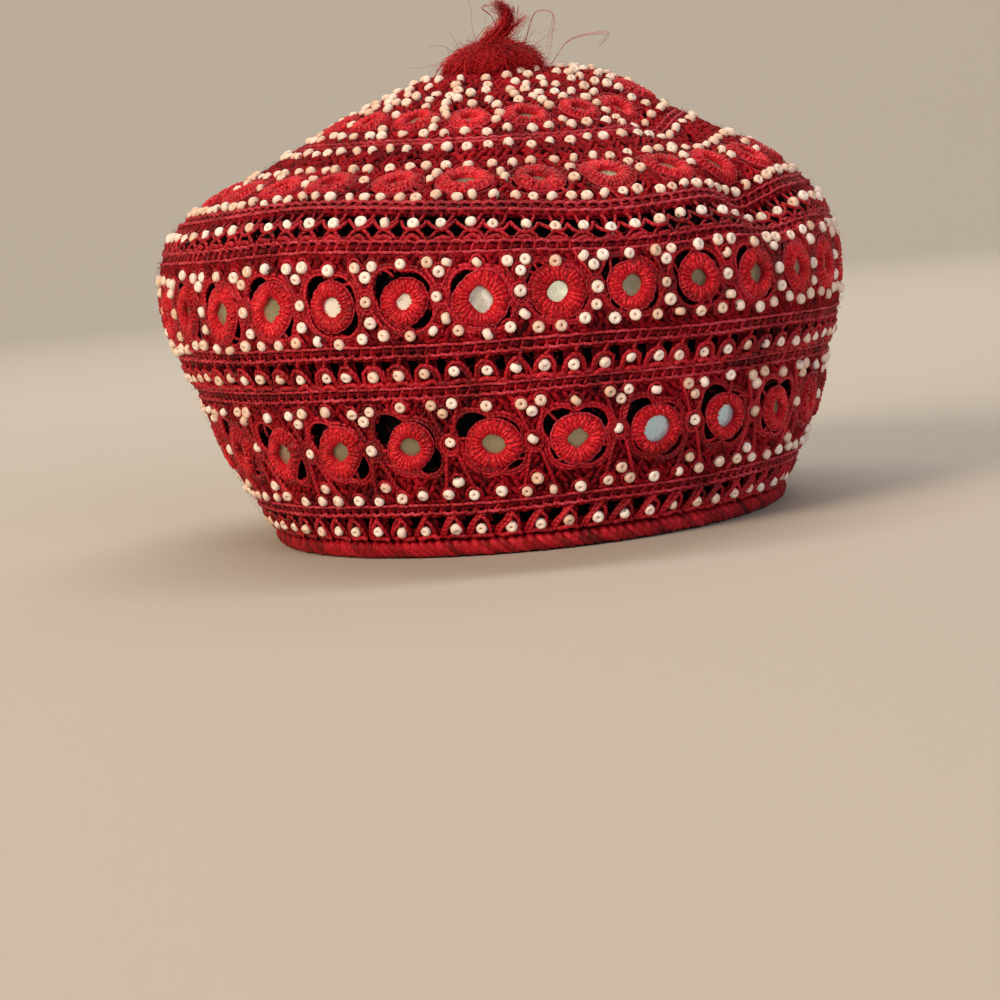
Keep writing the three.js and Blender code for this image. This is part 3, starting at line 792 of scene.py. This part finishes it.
# %% Nets
# control points (across, up, lift) in mm, half width of the thread and its least tone
LOOPS = {
    "foot": [
        ([[-2.9, -0.5, -0.3], [-1.8, 2.6, 0.4], [0.2, 5.4, 0.7], [2.3, 7.8, -0.1]], 0.62, 0.35),
        ([[-3.9, -0.5, -0.5], [-2.7, 2.2, 0.1], [-0.8, 5.2, 0.3], [1.3, 7.9, -0.4]], 0.55, 0.1),
        ([[1.4, 6.8, 0.1], [2.9, 5.4, 0.5], [3.3, 2.8, 0.3], [2.9, -0.5, -0.5]], 0.5, 0.25),
        ([[-2.2, 0.1, 0.1], [-0.2, 0.8, 0.5], [2.0, 0.8, 0.5], [4.0, -0.1, 0.1]], 0.7, 0.2),
    ],
    "waist": [
        ([[-3.7, -0.6, -0.5], [-3.2, 2.9, 0.3], [-1.9, 5.9, 0.7], [0.4, 6.9, 0.8], [2.5, 5.6, 0.6],
          [3.1, 2.9, 0.3], [2.8, -0.6, -0.5]], 0.55, 0.4),
        ([[-2.7, -0.4, -0.5], [-2.3, 2.8, 0.1], [-1.2, 5.2, 0.4], [0.5, 5.8, 0.4], [1.9, 4.4, 0.3],
          [2.3, 2.2, 0.0]], 0.55, 0.1),
        ([[0.6, 6.8, 0.1], [1.2, 8.2, 0.2], [2.0, 9.6, -0.3]], 0.55, 0.2),
        ([[-2.2, 0.6, 0.2], [-0.4, 1.4, 0.6], [1.0, 1.4, 0.6], [2.4, 0.4, 0.2]], 0.72, 0.5),
        ([[2.0, -0.2, -0.2], [4.0, 1.0, 0.2], [6.0, 0.0, -0.2]], 0.72, 0.2),
    ],
    "shoulder": [
        ([[-3.9, 6.2, -0.3], [-2.6, 4.0, 0.4], [0.0, 2.7, 0.7], [2.6, 4.0, 0.4], [3.9, 6.2, -0.3]],
         0.5, 0.4),
        ([[-4.0, -0.5, -0.4], [-2.3, 1.9, 0.3], [0.0, 3.4, 0.3], [2.4, 6.2, 0.1], [3.4, 9.4, -0.4]],
         0.48, 0.1),
        ([[4.0, -0.5, -0.4], [2.3, 1.9, 0.4], [0.0, 3.4, 0.4]], 0.5, 0.2),
        ([[-0.6, 9.6, -0.4], [-0.3, 7.6, 0.0], [0.0, 6.0, 0.2]], 0.45, 0.1),
        ([[-2.2, 0.3, 0.1], [0.0, 0.9, 0.5], [2.2, 0.3, 0.1]], 0.7, 0.3),
    ],
}
# where the bead of each loop sits, across and up in mm
BEAD_IN_LOOP = {"foot": (0.9, 3.0), "waist": (0.0, 3.9), "shoulder": (0.1, 5.0)}


def moved(centres, offset, spread=0.35):
    """Centres moved by (across mm, up mm), each a little off by hand."""
    offset = np.asarray(offset, float) + rng.normal(0, spread, (len(centres), 2))
    across = offset[:, 0] / girth_rate(*centres.T)
    return centres + np.stack([across, offset[:, 1]], -1)


def net(name):
    """The loops of a net; returns the places of their beads."""
    centre = spots(LEVEL[NETS[name][0]], NET_PITCH)
    centre[:, 0] += rng.normal(0, 0.003, len(centre))
    parts = [strands(centre, controls, radius, 8, 5, 0.26, rng.uniform(tone, tone + 0.5, len(centre)))
             for controls, radius, tone in LOOPS[name]]
    build(f"{name}_loops", *joined(parts), LOOP)
    print(name, len(centre), "loops")
    return moved(centre, BEAD_IN_LOOP[name])


net_beads = [net(name) for name in NETS]

# %% [markdown]
# ## Webs between the mirrors
#
# From the chains above and below, doubled threads draw together to a small loop at mid height
# between two rings, and rails of thread edge the black crescents beside each ring. Beads sit in
# these webs: three above, three below, one in the middle loop, and one over and one under each
# ring.

# %% Webs and their beads
def rails(row, insets, ties=5):
    """Threads that edge the crescents round each ring, and short ties across them."""
    turn = np.linspace(0, TAU, 40)[None]
    edge = ROSETTE * ROWS[row].size
    reach = edge + crescent_reach(row, turn, np.arange(ROWS[row].count)[:, None])
    parts = [strands(rosettes[row], polar(reach - 0.1 + inset, turn, lift), radius, 44, 4, 0.08)
             for inset, radius, lift in insets]
    held = np.repeat(rosettes[row], ties, 0)
    turn = rng.uniform(0, TAU, (len(held), 1))
    turn = turn + rng.normal(0, 0.12, (len(held), 1)) * [0, 1, 2, 3]
    tie = polar(edge + np.array([-0.6, 1.0, 2.6, 4.2]), turn, [0.3, 0.4, 0.2, -0.5])
    return parts + [strands(held, tie, 0.42, 5, 4)]


def web(row, top, foot):
    """Threads between the rings, from a foot to a top; returns the places of their beads."""
    middles = row_centres(row, 0.5) + rng.normal(0, [0.004, 0.3], (ROWS[row].count, 2))
    parts = rails(row, [(0.2, 0.5, 0.15), (1.15, 0.6, -0.1)])
    for side in (-1, 1):
        down = [[5.0, top, -0.3], [3.6, top - 4, 0.3], [1.6, 4.6, 0.5], [0.7, 2.6, 0.2]]
        up = [[6.2, foot, -0.3], [4.4, foot + 4.2, 0.3], [1.8, -3.2, 0.5], [0.7, -1.6, 0.2]]
        parts += [strands(middles, np.array(run) * [side, 1, 1], 0.55, 7, 4) for run in (down, up)]
    for width, lift in ((2.8, 0.5), (2.0, 0.2)):
        eye = polar(width, circle(8), lift) * [0.9, 1.15, 1] + [0, 0.6, 0]
        parts.append(strands(middles, eye, 0.5, 14, 4, 0.1, None, True))
    build(f"{row}_webs", *joined(parts), LOOP)
    print(row, "webs", len(middles))
    between_rings = [
        [-2.6, top - 2.6], [2.7, top - 2.4], [0.2, top - 5.5], [0, 0.7],
        [0.1, foot + 6.4], [-3.9, foot + 2.7], [3.9, foot + 2.7],
    ]
    by_rings = [[0, max(top - 2.9, ROSETTE + 2.4)], [0, min(foot + 2.6, -ROSETTE - 2.0)]]
    beads = [moved(middles, offset) for offset in between_rings]
    return beads + [moved(rosettes[row], offset) for offset in by_rings]


web_beads = []
# the first two grounds name the stations that bound these rows
for row, (_, low, high, *_) in zip(("lower", "upper"), GROUNDS):
    web_beads += web(row, LEVEL[high] - ROWS[row].level, LEVEL[low] - ROWS[row].level)
crown_rails = joined(rails("crown", [(0.25, 0.55, -0.2)]) + rails("top", [(0.2, 0.5, -0.2)]))
build("crown_rails", *crown_rails, LOOP)

# %% [markdown]
# ## Seed beads
#
# About thirteen hundred drilled beads, 3.4 mm across. Most are stitched down by their hole, so it
# faces out as a dot darkened with painted shade; the rest lie on their side. On the side bands a
# small hood of thread goes over each.

# %% Bead places on the crown
# level and pitch of the bead rows that run round it, in mm
BEAD_ROUNDS = [(103.9, 5.3), (124.6, 6.0), (137.0, 6.0), (146.6, 6.4)]
# columns of beads that climb from a row of rings: the row, a share of its pitch, how far a bead
# strays, and the beads' places across and up
BEAD_COLUMNS = [
    ("crown", 0.5, 0.6, [[0, 0.2], [0.4, 4.4], [-0.6, 7.8]]),
    ("top", 0.5, 0.5, [[0.4, -5.2], [-1.2, -1.2], [0.8, 2.8], [-0.4, 6.9]]),
    ("top", 0.5, 0.6, [[-2.4 * (1 - up / 60), up] for up in np.arange(11.5, 35, 6.2)]),
    ("top", 0.5, 0.6, [[2.4 * (1 - up / 60), up] for up in np.arange(14, 33, 6.2)]),
    ("top", 0.0, 0.6, [[0.4, -6.6], [0.4, 8.6], [-0.5, 13.2], [0.3, 18.4]]),
]
crown_beads = [spots(*each) for each in BEAD_ROUNDS]
for row, shift, stray, offsets in BEAD_COLUMNS:
    crown_beads += [moved(row_centres(row, shift), offset, stray) for offset in offsets]
print("bead rows", len(crown_beads))

# %% Drilled beads
# radius and height in mm along a bead's outline, from its hole to its back
BEAD_OUTLINE = np.array([
    [0.02, 0.0], [0.42, 0.85], [1.05, 1.15], [1.58, 0.6], [1.64, -0.3], [1.25, -1.0], [0.3, -1.15],
])
BEAD_SIDES = 10
# least distance between the middles of two beads, on the side and on the crown
SIDE_APART, CROWN_APART = 3.1, 3.6


def drilled_beads(name, centres, sideways, palest, lift=0.45):
    """Turned beads at (angle, level) centres; a share of them lies on its side."""
    count = len(centres)
    points, out = place(*centres.T, lift + rng.normal(0, 0.15, count))
    around, up, _ = directions(*centres.T)
    tilt = rng.normal(0, 0.25, (count, 2))
    turn = rng.uniform(0, np.pi, (count, 1))
    lying = around * np.cos(turn) + up * np.sin(turn)
    facing = out + around * tilt[:, :1] + up * tilt[:, 1:]
    axis = unit(np.where(rng.uniform(size=(count, 1)) < sideways, lying, facing))
    across = unit(np.cross(axis, up + around * 0.3))
    other = np.cross(axis, across)
    size = rng.uniform(0.92, 1.1, (count, 1, 1, 1))
    turn = circle(BEAD_SIDES)[:, None]
    ring = across[:, None, None] * np.cos(turn) + other[:, None, None] * np.sin(turn)
    radius, height = BEAD_OUTLINE[:, 0, None, None], BEAD_OUTLINE[:, 1, None, None]
    shape = points[:, None, None] + (ring * radius + axis[:, None, None] * height) * size
    # each hole's middle keeps tone 0, the dark first stop: painted shade inside the hole
    tones = np.zeros(shape.shape[:3])
    tones[:, 1:] = rng.uniform(0.3, palest, (count, 1, 1))
    points, faces, _, uv = plain(shape, wrapped(numbers(*tones.shape), 2))
    build(name, points, faces, tones, uv[:tones.size], GLASS_BEAD, "cream_beads")


def apart(centres, least):
    """Drops the beads that would sit inside an earlier one."""
    points = surface(*centres.T)
    kept = [0]
    for i in range(1, len(points)):
        if np.sum((points[kept] - points[i]) ** 2, axis=1).min() > least ** 2:
            kept.append(i)
    return centres[kept]


side_places = apart(np.concatenate(net_beads + web_beads), SIDE_APART)
crown_places = np.concatenate(crown_beads)
for row in ("crown", "top"):
    across, up, _ = ring_distance(row, *crown_places.T)
    crown_places = crown_places[np.hypot(across, up) > ROSETTE * ROWS[row].size + 0.2]
crown_places = crown_places + rng.normal(0, [0.006, 0.5], crown_places.shape)
crown_places = apart(crown_places, CROWN_APART)
drilled_beads("side_beads", side_places, 0.14, 1.0)
drilled_beads("crown_seed_beads", crown_places, 0.35, 0.7)
HOOD = [[-2.0, -1.9, -0.5], [-2.2, 0.5, 0.1], [0.0, 2.35, 0.5], [2.2, 0.5, 0.1], [2.0, -1.9, -0.5]]
web_places = apart(np.concatenate(web_beads), SIDE_APART)
build("bead_hoods", *strands(web_places, HOOD, 0.42, 8, 4, 0.2), LOOP)
print("beads", len(side_places), "+", len(crown_places), "hoods", len(web_places))

# %% [markdown]
# ## Rim cord
#
# The edge is a cord whipped closely with thread, so its wraps slant like the strands of a rope.
# It's pressed flat where it stands.

# %% Rim cord
CORD_HALF = 2.8
CORD_INSET = 1.4
CORE_HALF = 2.1
WRAPS, WRAP_HALF = 190, 1.4
LOWEST = 0.02


def cord_ring(angle, section, radius):
    """Points round the rim cord's section, which is centred inside the rim's outline."""
    angle, section = np.broadcast_arrays(angle, section)
    out = radius * np.cos(section) - CORD_INSET
    x = (RIM_WIDTH / 2 + out) * np.sin(angle) + RIM_CENTRE[0]
    y = -(RIM_DEPTH / 2 + out) * np.cos(angle)
    z = CORD_HALF + radius * np.sin(section)
    level_out = np.stack([np.sin(angle), -np.cos(angle), 0 * angle], -1) * np.cos(section)[..., None]
    return np.stack([x, y, z], -1), level_out + np.sin(section)[..., None] * [0, 0, 1]


section = circle(12)[None]
wrap_angle = circle(WRAPS)[:, None] + rng.normal(0, 0.0014, (WRAPS, 1))
slant = -0.03 * np.sin(section) - 0.014 * np.cos(section)
seat = CORD_HALF - WRAP_HALF + rng.normal(0, 0.13, (WRAPS, 1))
points, out = cord_ring(wrap_angle + slant, section, seat)
wraps = tubes(points, out, WRAP_HALF, 5, rng.uniform(0, 1, WRAPS), True)
wraps[0][:, 2] = np.maximum(wraps[0][:, 2], LOWEST)
core_line, _ = cord_ring(circle(120)[None], 0.0, 0.0)
upward = np.broadcast_to([0, 0, 1.0], core_line.shape)
core = tubes(core_line, upward, CORE_HALF, 8, 0.0, True, False)
build("whipped_rim_cord", *joined([wraps, core]), RIM, "rim_thread")
print("wraps", WRAPS, "lowest mm", round(float(wraps[0][:, 2].min()), 2))

# %% [markdown]
# ## Lining
#
# A thin black cotton lining, tacked just inside the crochet. It hangs a little slack, and shows
# as the black of every gap.

# %% Lining
LINING_DEPTH, LINING_SLACK = 3.0, 0.25


def lining_surface():
    levels = np.concatenate([np.linspace(0.4, SLANT - 4, 60), [SLANT - 0.5]])
    turn, level = np.meshgrid(np.linspace(0, TAU, 97), levels)
    slack = LINING_SLACK * np.sin(9 * turn + level / 7) * np.sin(level / 11)
    points, _ = place(turn, level, slack - LINING_DEPTH)
    points[:, -1] = points[:, 0]
    return plain(points, numbers(*turn.shape))


lining = build("black_cotton_lining", *lining_surface(), BLACK_COTTON, "black_lining")
thick = lining.modifiers.new("cloth thickness", "SOLIDIFY")
thick.thickness = 0.5 * MM
thick.offset = -1
print("lining faces", len(lining.data.polygons))

# %% [markdown]
# ## Tuft
#
# The top is finished with a brush of frayed thread ends, tied down so that it lies as a low soft
# dome over a core. Three locks of longer ends stand up from it, four ends trail away on their
# own, and fine wisps and a halo of short hairs make its outline soft.

# %% Tuft
TUFT_HALF, TUFT_TOP = 15.0, 9.5
TUFT_CENTRE = np.array([RIM_CENTRE[0] - SWAY + 4.4, 0, CROWN_HEIGHT - 1.8])
COMBED, WISPS, HALO = 3400, 46, 620
WISP_FLOOR = 134


def on_dome(fall, turn, size=1.0):
    """Points on the tuft's dome, by the angle down from its top and the turn round it."""
    fall, turn = np.broadcast_arrays(fall, turn)
    shape = polar(np.sin(fall), turn, np.cos(fall))
    return TUFT_CENTRE + shape * [TUFT_HALF, TUFT_HALF, TUFT_TOP] * np.asarray(size)[..., None]


def drifting(count, steps, spread):
    """Smooth random paths that start at zero."""
    return np.cumsum(np.cumsum(rng.normal(0, spread, (count, steps, 3)), 1), 1)


def fibres(path, width, sides=3):
    taper = 1 - 0.65 * np.linspace(0, 1, path.shape[1])
    out = unit(path - TUFT_CENTRE + [0, 0, 6.0])
    return tubes(path, out, width * taper, sides)


def flying(count, steps, falls, size, bias, lengths, sag):
    """Loose ends that leave the dome and sag, longer or shorter by chance."""
    t = np.linspace(0, 1, steps)[None, :, None]
    start = on_dome(rng.uniform(*falls, count), rng.uniform(0, TAU, count), size)[:, None]
    away = unit(start - TUFT_CENTRE + rng.normal(0, 5, (count, 1, 3)) + bias)
    away = away * rng.uniform(*lengths, (count, 1, 1))
    return start + away * t - [0, 0, sag] * t ** 2 + drifting(count, steps, 0.16)


t = np.linspace(0, 1, 6)
fall = rng.uniform(0, 1.2, (COMBED, 1)) ** 1.1 + rng.uniform(0.25, 0.8, (COMBED, 1)) * t
turn = rng.uniform(0, TAU, (COMBED, 1)) + rng.normal(0, 0.3, (COMBED, 1)) * t
size = rng.normal(0.98, 0.04, (COMBED, 1)) + rng.uniform(0, 0.45, (COMBED, 1)) ** 2 * t ** 2
combed = on_dome(np.minimum(fall, 1.75), turn, size) + drifting(COMBED, len(t), 0.06)

# three locks stand up from the top and lean to the right: fibres, spread in mm, path
LOCKS = [
    (110, 1.15, [[-3, 0, 6.5], [-0.5, 0, 10.8], [3, 0, 13.6], [5.4, 0, 17], [5, 0, 20], [2.6, 0, 22]]),
    (70, 0.8, [[-1, 1, 7], [1.5, 1, 11], [4.6, 1, 13.5], [6.4, 1, 16.5], [6.6, 1, 20]]),
    (30, 0.6, [[1, -1, 7], [3.5, -1, 10.5], [6, -1, 12.5], [8.6, -1, 15.2], [10.5, -1, 17]]),
]
locks = []
t = np.linspace(0, 1, 9)
for count, spread, path in LOCKS:
    loose = rng.normal(0, 1, (count, 1, 3)) * spread * (1.5 - 1.2 * t[:, None])
    path = curve(TUFT_CENTRE + np.array([path], float), len(t))
    locks.append(path + loose + drifting(count, len(t), 0.06))
locks = np.concatenate(locks)

wisps = flying(WISPS, 14, (0.2, 1.3), 1.0, [1.5, 0, 3], (5, 13), 5.0)
wisps[..., 2] = np.maximum(wisps[..., 2], WISP_FLOOR)
halo = flying(HALO, 5, (0.1, 1.5), 0.95, 0, (1.5, 4.2), 0.0)

# one long end trails to the right, one down the left and two loop over the top
trails = curve(TUFT_CENTRE + np.array([
    [[13, -3, 0], [18, -4, 1.5], [24, -5, 8], [32, -6, 9.5], [37, -6, 9], [34, -6, 6]],
    [[-8, -5, 7], [-15, -6, 5], [-19, -6, 0], [-22, -7, -5], [-24, -7, -9], [-25, -7, -12]],
    [[10, -2, 6], [12, -3, 13], [15, -3, 18], [20, -4, 17], [19, -4, 11], [17, -5, 4]],
    [[2, 0, 14], [1, 0, 18], [-2, 0, 21], [3, 0, 21.5], [8, -1, 19], [12, -1, 16]],
], float), 22)
trails = np.repeat(trails, 3, 0)
trails = trails + drifting(len(trails), 22, 0.012)

turn, fall = np.meshgrid(np.linspace(0, TAU, 25), np.linspace(0.03, 1.62, 9))
core = plain(on_dome(fall, turn, 0.9 + 0.04 * np.sin(5 * turn)), numbers(*turn.shape))
# each set of fibres and its half width in mm
FIBRES = [(combed, 0.2), (locks, 0.16), (wisps, 0.09), (halo, 0.08), (trails, 0.12)]
parts = [fibres(*each) for each in FIBRES]
build("frayed_tuft", *joined(parts + [core]), TUFT, "tuft_thread")
print("fibres", sum(len(each[0]) for each in FIBRES))

# %% [markdown]
# ## Fuzz
#
# Short broken fibres stand up all over worn cotton. A few thousand fine hairs, each a bent
# thread one or two millimetres long, soften its outline.

# %% Fuzz
HAIRS = 5200
level = rng.uniform(2, SLANT - 12, HAIRS)
hair_at = np.stack([rng.uniform(0, TAU, HAIRS), level], -1)
hair_at = hair_at[rng.uniform(size=HAIRS) < girth_rate(hair_at[:, 0], level) / (CAP_DEPTH / 2)]
bend = rng.normal(0, 0.8, (len(hair_at), 2, 2))
hair = np.zeros((len(hair_at), 3, 3))
hair[:, 1:, :2] = np.cumsum(bend, 1)
hair[:, :, 2] = [0.1, 1.0, 1.5] + rng.uniform(-0.1, 0.5, (len(hair_at), 3)) * [0, 1, 2]
hair_points, hair_out = near(hair_at, hair)
build("cotton_fuzz", *tubes(hair_points, hair_out, [0.06, 0.05, 0.03], 3), LOOP)
print("hairs", len(hair_at))

# %% [markdown]
# ## Handing over from the solids
#
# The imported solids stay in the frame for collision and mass. Dressed pieces stand for each one
# here, so only the visual model shows.

# %% Replaced solids
STANDS_FOR = {
    "whipped_rim_cord": "rim_cord", "foot_loops": "lower_net", "foot_chain": "foot_braid",
    "lower_ground": "lower_mirror_band", "waist_lower_chain": "waist_lower_braid",
    "waist_loops": "waist_net", "waist_upper_chain": "waist_upper_braid",
    "upper_ground": "upper_mirror_band", "shoulder_chain": "shoulder_braid",
    "shoulder_loops": "shoulder_net", "edge_chain": "edge_braid",
    "crown_ground": "crown_mirror_band", "crown_bead_ground": "crown_bead_band",
    "top_ground": "top_mirror_band", "centre_ground": "crown_centre",
    "black_cotton_lining": "lining", "frayed_tuft": "tuft",
}
for name, node in STANDS_FOR.items():
    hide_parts(node)
print("stood for", len(STANDS_FOR), "solids")

# %% [markdown]
# ## Camera and light
#
# The cap stands on a pale paper sweep: a floor that curves up all round with no edge. A broad
# warm light comes from the upper left and a cooler one from the right, both large, so the beads
# get soft highlights and the mirrors have something bright to reflect.

# %% Stage
FLOOR, tree = start_material("pale seamless paper")
finish_material(tree, {}, {"Base Color": linear("bab4ab"), "Roughness": 0.9, "IOR": 1.45})
SWEEP_FLAT, SWEEP_BEND, SWEEP_TOP = 2.4, 1.6, 5.0
bend = np.linspace(0, np.pi / 2, 20)
reach = np.concatenate([[0.01], SWEEP_FLAT + SWEEP_BEND * np.sin(bend), [SWEEP_FLAT + SWEEP_BEND]])
height = np.concatenate([[0], SWEEP_BEND * (1 - np.cos(bend)), [SWEEP_TOP]]) - 0.2 * MM
turn = np.linspace(0, TAU, 97)
rows, columns = np.meshgrid(np.arange(len(reach)), turn, indexing="ij")
paper = plain(polar(reach[rows], columns, height[rows]) / MM, numbers(*rows.shape))
floor = build("studio_sweep", *paper, FLOOR, None)
floor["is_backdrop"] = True

world = bpy.data.worlds.new("studio air")
scene.world = world
world.use_nodes = True
air = world.node_tree.nodes["Background"].inputs
air["Color"].default_value = linear("d9d3ca")
air["Strength"].default_value = 0.2


def soft_light(name, position, size, power, colour, target=(0, 0, 0.08)):
    light = bpy.data.lights.new(name, "AREA")
    light.shape = "RECTANGLE"
    light.size, light.size_y = size
    light.energy = power
    light.color = linear(colour)[:3]
    lamp = show(name, light)
    lamp.location = position
    lamp.rotation_euler = (Vector(target) - Vector(position)).to_track_quat("-Z", "Y").to_euler()


soft_light("warm_key", (-1.7, -1.7, 1.35), (1.1, 1.1), 68, "ffe6c6")
soft_light("cool_fill", (0.9, -2.2, 0.9), (1.1, 1.1), 22, "eff3ff")
soft_light("rim_light", (0.6, 1.4, 1.7), (1.2, 0.8), 5, "fff8f0")
soft_light("backdrop_light", (0.0, 0.7, 2.8), (3.0, 1.0), 84, "fff8f0", (0, 3.2, 0.3))
print("lamps", len(bpy.data.lights))

# %% Camera
EYE = Vector((-9.6 + RIM_CENTRE[0], -800.0, 95.0)) * MM
PITCH, ROLL = math.radians(6.40), math.radians(5.53)
SENSOR, FOCAL_SHARE = 36, 2.516
camera = bpy.data.cameras.new("view")
camera.sensor_width = SENSOR
camera.lens = FOCAL_SHARE * SENSOR
eye = show("view", camera)
eye.location = EYE
ahead = Vector((0, math.cos(PITCH), -math.sin(PITCH))).to_track_quat("-Z", "Y").to_matrix()
eye.rotation_euler = (ahead @ Matrix.Rotation(-ROLL, 3, "Z")).to_euler()
scene.camera = eye
scene.view_settings.view_transform = "Standard"
print("camera at", np.round(list(EYE), 3).tolist())

# %% Measure and finish
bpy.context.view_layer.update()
counts = {piece.name: sum(len(face.vertices) - 2 for face in piece.data.polygons)
          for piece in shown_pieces()}
print("triangles", sum(counts.values()), "largest", max(counts.items(), key=lambda item: item[1]))
